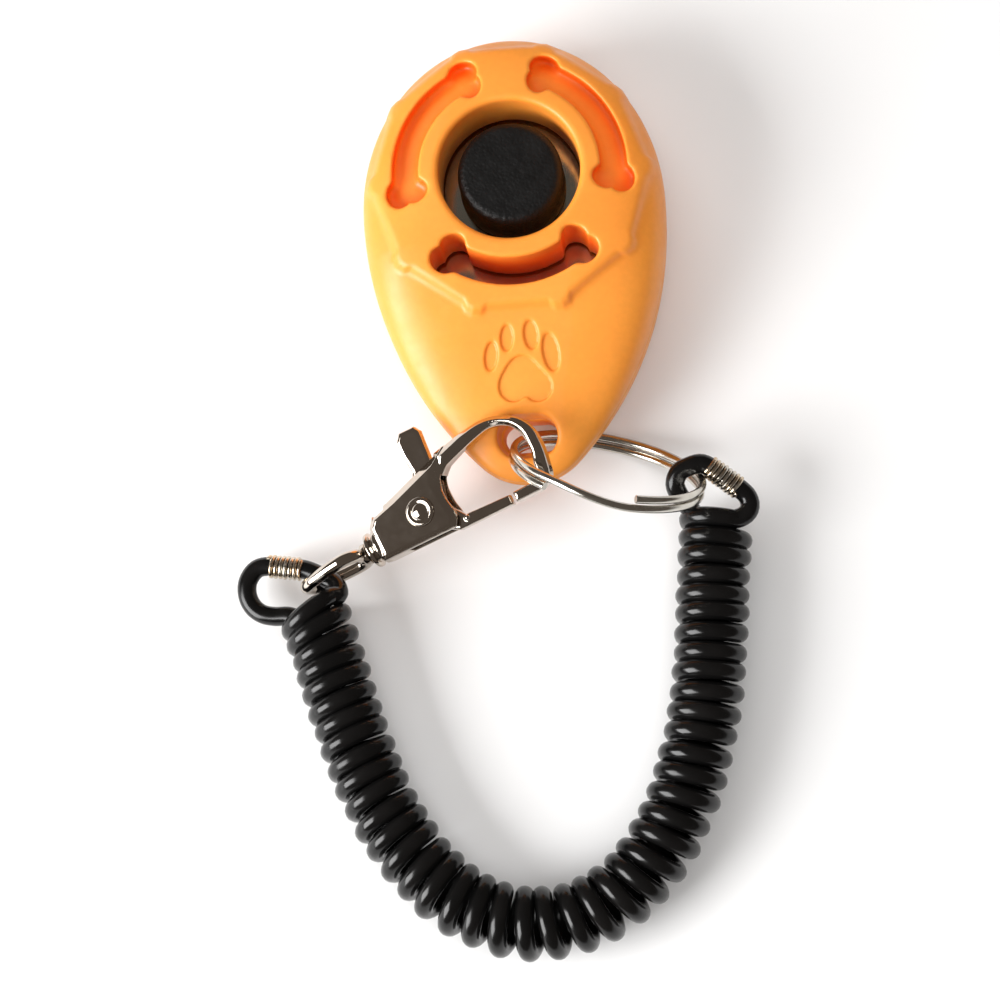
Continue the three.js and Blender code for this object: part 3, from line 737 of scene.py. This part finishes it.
# ---------- housing ----------
def egg_ratio(x, y):
    """1 on the egg's outline, 0 at its centre: half an ellipse at the head, two side arcs and a tip arc."""
    v = y - CENTRE_Y
    size = np.hypot(x, v) + 1e-9
    ux, uy = np.abs(x) / size, v / size
    side_radius = (HALF_WIDTH ** 2 + TIP_DROP ** 2 - TIP_RADIUS ** 2) / (2 * (HALF_WIDTH - TIP_RADIUS))
    side_centre = side_radius - HALF_WIDTH
    slant = math.hypot(side_centre, TIP_DROP)
    join_x = TIP_RADIUS * side_centre / slant
    join_y = TIP_DROP + TIP_RADIUS * TIP_DROP / slant

    def reach(cx, cy, radius):
        along = ux * cx + uy * cy
        return along + np.sqrt(np.maximum(along ** 2 - cx ** 2 - cy ** 2 + radius ** 2, 0))

    head = 1 / np.hypot(ux / HALF_WIDTH, uy / HEAD_LENGTH)
    tip = reach(0, -TIP_DROP, TIP_RADIUS)
    side = reach(-side_centre, 0, side_radius)
    front = np.where(ux * join_y < -uy * join_x, tip, side)
    return size / np.where(uy >= 0, head, front)


def falling_depth(y, depth, fall, from_y, over, power):
    """A dome's depth, the same up to from_y and falling off from there to the tip."""
    return depth - fall * np.maximum(0, (from_y - y) / over) ** power


def front_depth(y):
    return falling_depth(y, depth=9.95, fall=5.9, from_y=-10, over=27, power=1.3)


def back_depth(y):
    return BACK_FLATTEN * falling_depth(y, depth=8.9, fall=3.7, from_y=-18, over=18, power=1.5)


def dome_field(x, y, z, upwards, seam, depth, power):
    """Half of the egg: rounded over above the seam, or below it where upwards is -1, and straight beyond."""
    probe = 0.05
    least_slope = 0.01
    ratio = egg_ratio(x, y)
    slope = np.hypot(
        egg_ratio(x + probe, y) - egg_ratio(x - probe, y), egg_ratio(x, y + probe) - egg_ratio(x, y - probe),
    ) / (2 * probe)
    rise = np.maximum(upwards * (z - seam) / depth, 0)
    size = (ratio ** power + rise ** power) ** (1 / power) + 1e-9
    steepness = np.hypot((ratio / size) ** (power - 1) * slope, (rise / size) ** (power - 1) / depth)
    return (size - 1) / np.maximum(steepness, least_slope)


def plateau_outline(x, y):
    """The raised ten-sided face seen from above, with a small tab at each corner."""
    y = y - PLATEAU_Y
    radius, angle = np.hypot(x, y), np.degrees(np.arctan2(y, x))
    period = 360 / PLATEAU_SIDES
    slant = 0.95  # brings a distance along the radius close to the distance from the slanting side
    offset = np.abs((angle + 90 + period / 2) % period - period / 2)
    flat = PLATEAU_RADIUS / np.cos(np.radians(offset))
    share = np.clip((offset - period / 2 + TAB_HALF_ANGLE) / TAB_FLANK_ANGLE + 0.5, 0, 1)
    return (radius - flat - TAB_HEIGHT * smoothstep(share)) * slant


def bone_field(radius, angle, direction):
    """A dog bone bent round the button: a shaft with two round lobes at each end."""
    turn = np.abs((angle - direction + 180) % 360 - 180)
    along = np.radians(turn) * BONE_RADIUS
    end = math.radians(BONE_HALF_ANGLE) * BONE_RADIUS
    across = np.abs(radius - BONE_RADIUS)
    shaft = np.maximum(across - BONE_HALF_WIDTH, along - end)
    lobes = np.hypot(along - end, across - LOBE_OFFSET) - LOBE_RADIUS
    return smooth_min(shaft, lobes, BONE_CORNER)


def paw_field(x, y):
    """A plain paw print: a pad of three blended circles and four oval toes."""
    def circle(centre, radius):
        return np.hypot(x - centre[0], y - centre[1]) - radius

    heels = smooth_min(*[circle(heel, PAD_HEEL_RADIUS) for heel in PAD_HEELS], 0.7)
    mark = smooth_min(heels, circle(PAD_FRONT, PAD_FRONT_RADIUS), 2.2)
    for cx, cy, half_width, half_height, tilt in PAW_TOES:
        c, s = math.cos(math.radians(tilt)), math.sin(math.radians(tilt))
        across = (x - cx) * c - (y - cy) * s
        along = (x - cx) * s + (y - cy) * c
        mark = np.minimum(mark, (np.hypot(across / half_width, along / half_height) - 1) * half_width)
    return mark


def post_field(x, y, radius):
    """The four locating posts seen from above, each a circle of the radius given."""
    nearest = np.hypot(x - POSTS[0][0], y - POSTS[0][1])
    for px, py in POSTS[1:]:
        nearest = np.minimum(nearest, np.hypot(x - px, y - py))
    return nearest - radius


def front_shell_field(x, y, z):
    radius, angle = np.hypot(x, y), np.degrees(np.arctan2(y, x))
    seam = SEAM_Z + SEAM_GAP / 2
    body = dome_field(x, y, z, 1, seam, front_depth(y), FRONT_SHOULDER)
    lanyard = lanyard_field(x, y, z)
    bones = {d: bone_field(radius, angle, d) for d in (*BLIND_BONES, SLOT_BONE)}
    face = body - PLATEAU_STEP
    skin = smooth_min(body, smooth_max(face, plateau_outline(x, y), PLATEAU_EDGE), PLATEAU_FOOT)
    skin = smooth_max(skin, np.minimum(-paw_field(x, y), skin + PAW_DEPTH), PAW_EDGE)
    skin = smooth_max(skin, -lanyard, LANYARD_EDGE)
    skin = smooth_max(skin, HOLE_RADIUS - radius, HOLE_EDGE)
    for direction in BLIND_BONES:
        occlusion = smooth_max(bones[direction], -face - BONE_DEPTH, BONE_FLOOR_EDGE)
        skin = smooth_max(skin, -occlusion, BONE_EDGE)
    skin = smooth_max(skin, -bones[SLOT_BONE], BONE_EDGE)
    hollow = np.maximum(body + WALL, COLLAR_WALL + HOLE_RADIUS - radius)
    hollow = np.where(z < COLLAR_FOOT_Z, body + WALL, hollow)
    for direction, field in bones.items():
        foot = COLLAR_FOOT_Z if direction == SLOT_BONE else BLIND_BONE_FOOT_Z
        hollow = np.maximum(hollow, -np.maximum(field - BONE_WALL, foot - z))
    hollow = np.maximum(hollow, LANYARD_WALL - lanyard)
    hollow = np.maximum(hollow, -post_field(x, y, BOSS_RADIUS))
    shell = smooth_max(skin, -hollow, INNER_EDGE)
    shell = np.maximum(shell, -np.maximum(post_field(x, y, SOCKET_RADIUS), z - SOCKET_TOP_Z))
    return smooth_max(shell, seam - z, SEAM_EDGE)


def back_shell_field(x, y, z):
    seam = SEAM_Z - SEAM_GAP / 2
    body = dome_field(x, y, z, -1, seam, back_depth(y), BACK_SHOULDER)
    lanyard = lanyard_field(x, y, z)
    flare = FLARE * (1 - smoothstep(np.clip((z - FLARE_FOOT_Z) / FLARE_HEIGHT, 0, 1)))
    skin = smooth_max(body, -z, BACK_EDGE)
    skin = smooth_max(skin, flare - lanyard, FLARE_EDGE)
    hollow = np.maximum(body, -z) + WALL
    hollow = np.maximum(hollow, LANYARD_WALL + flare - lanyard)
    clamp = np.maximum(np.abs(x) - CLAMP_HALF_X, np.abs(y - CLAMP_Y) - CLAMP_HALF_Y)
    hollow = np.maximum(hollow, -np.maximum(clamp, z - CLAMP_TOP_Z))
    shell = smooth_max(smooth_max(skin, -hollow, INNER_EDGE), z - seam, SEAM_EDGE)
    posts = np.maximum(post_field(x, y, POST_RADIUS), np.abs(z - POST_MIDDLE_Z) - POST_HALF_HEIGHT)
    return np.minimum(shell, posts)


def make_front_shell():
    step, fine_step = 0.3, 0.17
    across = spaced(*SHELL_X, step, PAW_X, fine_step)
    along = spaced(*SHELL_Y, step, PAW_Y, fine_step)
    axes = (across, along, spaced(8.4, 21.2, 0.28))
    points, faces = surface_of(front_shell_field, axes)
    shell = mesh_object("front_shell_moulding", points, faces, ORANGE, "housing_orange")
    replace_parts(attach(shell, "housing"), "front_shell")


def make_back_shell():
    axes = (spaced(*SHELL_X, 0.36), spaced(*SHELL_Y, 0.36), spaced(-0.8, 13.2, 0.34))
    points, faces = surface_of(back_shell_field, axes)
    shell = mesh_object("back_shell_moulding", points, faces, ORANGE, "housing_orange")
    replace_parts(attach(shell, "housing"), "back_shell")


def make_button():
    """The push button with its stem, staked over below the plate."""
    stake = [(0, 7.1), (2.1, 7.1), (2.45, 7.25), (2.6, 7.6), (2.6, 8.0), (2.45, 8.2)]
    stem = [(1.5, 8.2), (1.5, 9.3)]
    wall = [(7.3, 9.3), (7.52, 9.38), (7.6, 9.6), (7.52, 12), (7.42, 14.5)]
    middle_radius = BUTTON_RADIUS - BUTTON_ROUNDING
    middle_z = BUTTON_TOP_Z - BUTTON_CROWN - BUTTON_ROUNDING
    shoulder = []
    for degrees in range(0, 91, 9):
        turn = math.radians(degrees)
        radius = middle_radius + BUTTON_ROUNDING * math.cos(turn)
        shoulder.append((radius, middle_z + BUTTON_ROUNDING * math.sin(turn)))
    crown = []
    for radius in (5.2, 4.2, 3, 1.8, 0.8, 0):
        crown.append((radius, BUTTON_TOP_Z - BUTTON_CROWN * (radius / 6) ** 2))
    profile = [*stake, *stem, *wall, *shoulder, *crown]
    button = mesh_object("push_button", *revolve(profile, 96), BLACK, "button_black", BUTTON_ANGLE)
    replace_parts(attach(button, "button"), "button")


def make_click_plate():
    """The spring-steel sheet, bowed a little, clamped at its tail and carried by the button at its head."""
    columns, rows = 34, 50
    near_hole = 0.45  # grid points this close to the hole's rim are drawn onto it
    vertices, faces, index = [], [], {}
    for j, i in product(range(rows + 1), range(columns + 1)):
        y = PLATE_TAIL_Y + (PLATE_HEAD_Y - PLATE_TAIL_Y) * j / rows
        inset = 0
        to_corner = PLATE_CORNER - min(y - PLATE_TAIL_Y, PLATE_HEAD_Y - y)
        if to_corner > 0:
            inset = PLATE_CORNER - math.sqrt(max(PLATE_CORNER ** 2 - to_corner ** 2, 0))
        x = (PLATE_HALF_WIDTH - inset) * (2 * i / columns - 1)
        radius = math.hypot(x, y)
        if radius <= PLATE_HOLE_RADIUS - near_hole:
            continue
        if radius < PLATE_HOLE_RADIUS + near_hole:
            x, y = x * PLATE_HOLE_RADIUS / radius, y * PLATE_HOLE_RADIUS / radius
        index[i, j] = len(vertices)
        along = math.cos(math.pi * min(1, abs(y) / PLATE_BOW_REACH) / 2) ** 2
        bow = PLATE_BOW * (1 - (x / PLATE_HALF_WIDTH) ** 2) * along
        vertices.append((x, y, PLATE_Z + PLATE_THICKNESS + bow))
    for j, i in product(range(rows), range(columns)):
        corners = [(i, j), (i + 1, j), (i + 1, j + 1), (i, j + 1)]
        if all(c in index for c in corners):
            faces.append(tuple(index[c] for c in corners))
    plate = mesh_object("click_plate_spring", vertices, faces, PLATE_STEEL, "plate_steel")
    solidify = plate.modifiers.new("thickness", "SOLIDIFY")
    solidify.thickness, solidify.offset = PLATE_THICKNESS * MM, -1
    bevel = plate.modifiers.new("edge", "BEVEL")
    bevel.width, bevel.segments = PLATE_EDGE * MM, 2
    bevel.limit_method, bevel.angle_limit = "ANGLE", math.radians(CUT_ANGLE)
    settle_modifiers(plate)
    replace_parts(plate, "click_plate")
    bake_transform(plate)


def settle_modifiers(obj):
    """Puts the modifiers' result into the mesh itself."""
    graph = bpy.context.evaluated_depsgraph_get()
    settled = bpy.data.meshes.new_from_object(obj.evaluated_get(graph))
    obj.modifiers.clear()
    obj.data = settled


make_front_shell()
make_back_shell()
make_button()
make_click_plate()


# ---------- split ring ----------
def make_split_ring():
    """One wire wound twice, stepping sideways where it passes between its own cut ends."""
    start = -math.pi + RING_CROSSOVER
    point_count = 420
    angle = np.linspace(start, 3 * math.pi - RING_CROSSOVER, point_count)
    share = np.clip((angle - math.pi + RING_CROSSOVER) / (2 * RING_CROSSOVER), 0, 1)
    step = smoothstep(share) - 0.5
    place = angle + math.radians(RING_GAP_ANGLE) - math.pi
    path = np.stack([RING_RADIUS * np.cos(place), RING_PITCH * step, RING_RADIUS * np.sin(place)], axis=1)
    path = turned(path, about_z=RING_HEADING, about_x=RING_LEAN, origin=RING_CENTRE)
    points, radii = round_ended(path, RING_WIRE, 0.12)
    ring = mesh_object("split_ring_wire", *sweep(points, radii, 16), RING_STEEL, "ring_steel", CUT_ANGLE)
    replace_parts(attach(ring, "split_ring"), "split_ring")


make_split_ring()


# ---------- clasp, in its own plane: x to the hook's nose, the rivet at the origin ----------
HOOK_OUTER = [
    (9.5, 7.3), (12.6, 7.5), (14.6, 7.2), (16.3, 6.5), (17.8, 5.5), (18.8, 4.3), (19.5, 2.6), (19.6, 0.8),
    (19.5, -0.9), (19.2, -2.5), (18.9, -3.9), (18.2, -5.1),
]
HOOK_INNER = [
    (15.6, -3.9), (17, -3.1), (17.5, -1.3), (17.9, 0.1), (17.7, 2.3), (16.9, 4.2), (15.7, 5.2), (13.8, 5.8),
    (11.7, 5.6), (8.7, 4.9), (5.9, 4.1),
]
BODY_NOSE = [(3.6, -4.3), (4.4, -2.7), (4, 0), (4.2, 2.2), (5.6, 4.2)]
BODY_BACK = [(6.6, 6.75), (-2.3, 4.4), (-7.3, 3.1), (-8.2, 1.6), (-8.2, -3.5)]
HOOK_ROOT = [(4.6, 3.4), (5.2, 6.5)]
HOOK_LIP = [(16.4, -5.5), (12.8, -5.3), (12.8, -3.8)]
GATE = [(-0.5, -2.4), (3.6, -4.8), (12.1, -5.3), (12.1, -3.8), (5.2, -3.1), (2.2, 1)]
TAB = [
    (-2.3, 1), (2.3, -1), (4.1, 5.6), (4.5, 10.6), (4, 11.5), (1.6, 11.7), (0.7, 10.6), (0.6, 8.5),
    (0.9, 5.8),
]
SLOT = [(-4.5, -6), (6.6, -6), (6.6, 0.6), (4.7, 3.2), (4.9, 4.6), (4.9, 9), (-4.5, 9)]


def curve2d(points, per_span=5):
    """The smooth curve through plane points, as a list for an outline."""
    return [tuple(p) for p in through(points, per_span)]


HOOK_LINE = [*curve2d(HOOK_ROOT, 2), *curve2d(HOOK_OUTER), *HOOK_LIP, *curve2d(HOOK_INNER)]
BODY_LINE = [BODY_BACK[-1], *curve2d(BODY_NOSE), *BODY_BACK[:-1]]


def slab(outline, z, half, edge):
    """An outline given thickness, its edges rounded over."""
    return smooth_max(outline, np.abs(z) - half, edge)


def clasp_plate(x, y, z):
    """Body and hook blended into one outline and given thickness, thinner at the hook, with a chamfer."""
    outline = smooth_min(polygon_field(x, y, BODY_LINE), polygon_field(x, y, HOOK_LINE), 0.6)
    taper = smoothstep(np.clip((x - 3.2) / 8.5, 0, 1))
    half = BODY_HALF + (HOOK_HALF - BODY_HALF) * taper
    chamfer = BODY_CHAMFER + (UPPER_CHAMFER - BODY_CHAMFER) * np.clip((y - 1) / 2, 0, 1)
    bevel = (outline + np.abs(z) - half + chamfer * half / BODY_HALF) * math.sqrt(0.5)
    return smooth_max(slab(outline, z, half, 0.3), bevel, 0.15)


def clasp_body_field(x, y, z):
    """The clasp plate with the lever's slot, a pocket, and the collar that holds the swivel's head."""
    off_axis = np.hypot(y - SWIVEL_Y, z)
    bands = np.minimum(np.abs(x - BAND_XS[0]), np.abs(x - BAND_XS[1]))
    groove = BAND_DEPTH * np.clip(bands / BAND_HALF - 0.6, 0, 1)
    collar = smooth_max(off_axis - COLLAR_RADIUS + groove, np.abs(x - COLLAR_X) - COLLAR_HALF, 0.35)
    slot = np.maximum(polygon_field(x, y, SLOT), np.abs(z) - SLOT_HALF)
    pocket = np.maximum(np.abs(x + 6.1) - 1.0, np.maximum(np.abs(z) - 1.7, 1.9 - y))
    stem_bore = np.maximum(off_axis - 1.1, np.abs(x + 8) - 4)
    head_bore = np.maximum(off_axis - 2, np.abs(x + 5.4) - 1.4)
    whole = smooth_max(clasp_plate(x, y, z), -slot, 0.2)
    whole = smooth_max(whole, -pocket, 0.2)
    whole = smooth_min(whole, collar, 0.3)
    whole = smooth_max(whole, -stem_bore, 0.15)
    whole = np.maximum(whole, -head_bore)
    return np.maximum(whole, RIVET_HOLE - np.hypot(x, y))


def trigger_field(x, y, z):
    """The gate, the eye round the rivet and the thumb tab as one slab, with a pip on the gate's face."""
    lever = np.minimum(np.hypot(x, y) - 2.5, polygon_field(x, y, GATE))
    lever = smooth_min(lever, polygon_field(x, y, TAB), 0.6)
    lever = slab(lever, z, LEVER_HALF, 0.55)
    pip = np.sqrt((x - 5.3) ** 2 + (y + 3.75) ** 2 + (z - LEVER_HALF) ** 2) - 0.4
    lever = smooth_min(lever, pip, 0.15)
    return np.maximum(lever, RIVET_HOLE - np.hypot(x, y))


def make_clasp_body():
    step = 0.14
    axes = (spaced(-10.6, 20.4, step), spaced(-6.4, 8.4, step), spaced(-3.1, 3.1, step))
    points, faces = surface_of(clasp_body_field, axes)
    body = mesh_object("clasp_body_casting", clasp_place(points), faces, CHROME, "clasp_chrome")
    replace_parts(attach(body, "clasp_body"), "clasp_body")


def make_trigger():
    step = 0.14
    axes = (spaced(-3.2, 13, step), spaced(-6.2, 12.4, step), spaced(-1.3, 1.3, 0.13))
    points, faces = surface_of(trigger_field, axes)
    lever = mesh_object("thumb_trigger", clasp_place(points), faces, CHROME, "clasp_chrome")
    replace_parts(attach(lever, "clasp_trigger"), "clasp_trigger")


def make_rivet():
    """A rivet with a rolled rim round a small dome on each face."""
    face = BODY_HALF + 0.02
    rim = [(1.1, 0), (2.0, 0), (2.08, 0.14), (1.98, 0.34), (1.7, 0.45), (1.42, 0.34)]
    dome = [(1.25, 0.3), (1.05, 0.5), (0.75, 0.68), (0.4, 0.77), (0, 0.8)]
    upper = [(radius, face + rise) for radius, rise in rim + dome]
    lower = [(radius, -z) for radius, z in reversed(upper)]
    points, faces = revolve(lower + upper, 48)
    rivet = mesh_object("clasp_rivet_pin", clasp_place(points), faces, CHROME, "clasp_chrome", CUT_ANGLE)
    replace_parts(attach(rivet, "clasp_body"), "clasp_rivet")


def make_trigger_spring():
    """A small coil spring inside the body's slot that pushes the trigger shut."""
    share = np.linspace(0, 1, SPRING_TURNS * 20 + 1)
    angle = share * SPRING_TURNS * 2 * math.pi
    along = SPRING_X + SPRING_LENGTH * share
    path = np.stack([along, SPRING_Y + SPRING_RADIUS * np.cos(angle), SPRING_RADIUS * np.sin(angle)], axis=1)
    points, radii = round_ended(path, SPRING_WIRE, 0.05)
    points, faces = sweep(points, radii, 8)
    points = clasp_place(points)
    spring = mesh_object("trigger_return_spring", points, faces, PLATE_STEEL, "plate_steel", CUT_ANGLE)
    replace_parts(spring, "trigger_spring")
    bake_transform(spring)


def make_swivel_eye():
    """A pear-shaped wire eye, rolled about its stem, whose head turns in the clasp's collar."""
    side = [(-11.3, 0.9), (-11.7, 2.5), (-13, 3.5), (-15, 3.45), (-17.4, 2.75), (-19.6, 1.9), (-20.7, 1.0)]
    loop = [*side, (-20.9, 0), *[(x, -y) for x, y in reversed(side)]]
    per_span = 12
    path = through([(x, y, 0) for x, y in (loop[-1], *loop, loop[0], loop[1])], per_span)
    path = path[per_span:-per_span - 1]
    points, wire_faces = sweep(path, EYE_WIRE, 16, closed=True, start_normal=np.array([0.0, 0, 1]))
    wire = (turned(points, about_x=EYE_ROLL), wire_faces)
    head = [(0, 5.4), (1.45, 5.4), (1.6, 5.55), (1.6, 6.25), (1.45, 6.4)]
    stem = [(0.8, 6.4), (0.8, 10.2)]
    foot = [(1.4, 10.2), (1.6, 10.35), (1.62, 11.0), (1.35, 11.35), (0, 11.6)]
    points, stem_faces = revolve(head + stem + foot, 32)
    points = np.stack([-points[:, 2], points[:, 1], points[:, 0]], axis=1)
    points, faces = joined(wire, (points, stem_faces))
    points = clasp_place(points + np.array([0, SWIVEL_Y, 0]))
    eye = mesh_object("swivel_eye_wire", points, faces, CHROME, "clasp_chrome", CUT_ANGLE)
    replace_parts(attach(eye, "swivel_eye"), "swivel_eye")


make_clasp_body()
make_trigger()
make_rivet()
make_trigger_spring()
make_swivel_eye()


# ---------- floor and light ----------
def make_floor():
    """A pale floor just under the lowest piece; it is staging, not part of the object."""
    half = 1.6
    gap = 0.02 * MM
    corners = [(-half, -half, 0), (half, -half, 0), (half, half, 0), (-half, half, 0)]
    mesh = bpy.data.meshes.new("floor")
    mesh.from_pydata(corners, [], [(0, 1, 2, 3)])
    mesh.materials.append(pale_floor())
    floor = bpy.data.objects.new("floor", mesh)
    bpy.context.scene.collection.objects.link(floor)
    floor.location.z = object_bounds()[0].z - gap
    floor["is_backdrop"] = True


def softbox(name, direction, distance, size, power):
    """A square area light that faces the middle of the object from the direction given."""
    data = bpy.data.lights.new(name, "AREA")
    data.shape, data.size = "SQUARE", size
    data.energy = power
    light = bpy.data.objects.new(name, data)
    bpy.context.scene.collection.objects.link(light)
    low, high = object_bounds()
    middle = (low + high) / 2
    towards = Vector(direction).normalized()
    light.location = middle + towards * distance
    light.rotation_mode = "QUATERNION"
    light.rotation_quaternion = towards.to_track_quat("Z", "Y")
    return light


def make_lights():
    """One bright softbox low on the left, two wide ones that aren't mirrored, and a dim warm world."""
    world = bpy.data.worlds.new("studio")
    world.use_nodes = True
    background = world.node_tree.nodes["Background"]
    background.inputs["Color"].default_value = (0.115, 0.098, 0.085, 1)
    background.inputs["Strength"].default_value = 1.0
    bpy.context.scene.world = world
    softbox("key", (-0.85, -0.33, 0.45), distance=0.6, size=0.42, power=6.9)
    for name, direction, power in (("fill", (0.35, -0.25, 0.9), 4.6), ("back", (-0.15, 0.6, 0.8), 4.4)):
        softbox(name, direction, distance=1.0, size=0.9, power=power).visible_glossy = False


make_floor()
make_lights()
bpy.context.scene.view_settings.view_transform = "Standard"
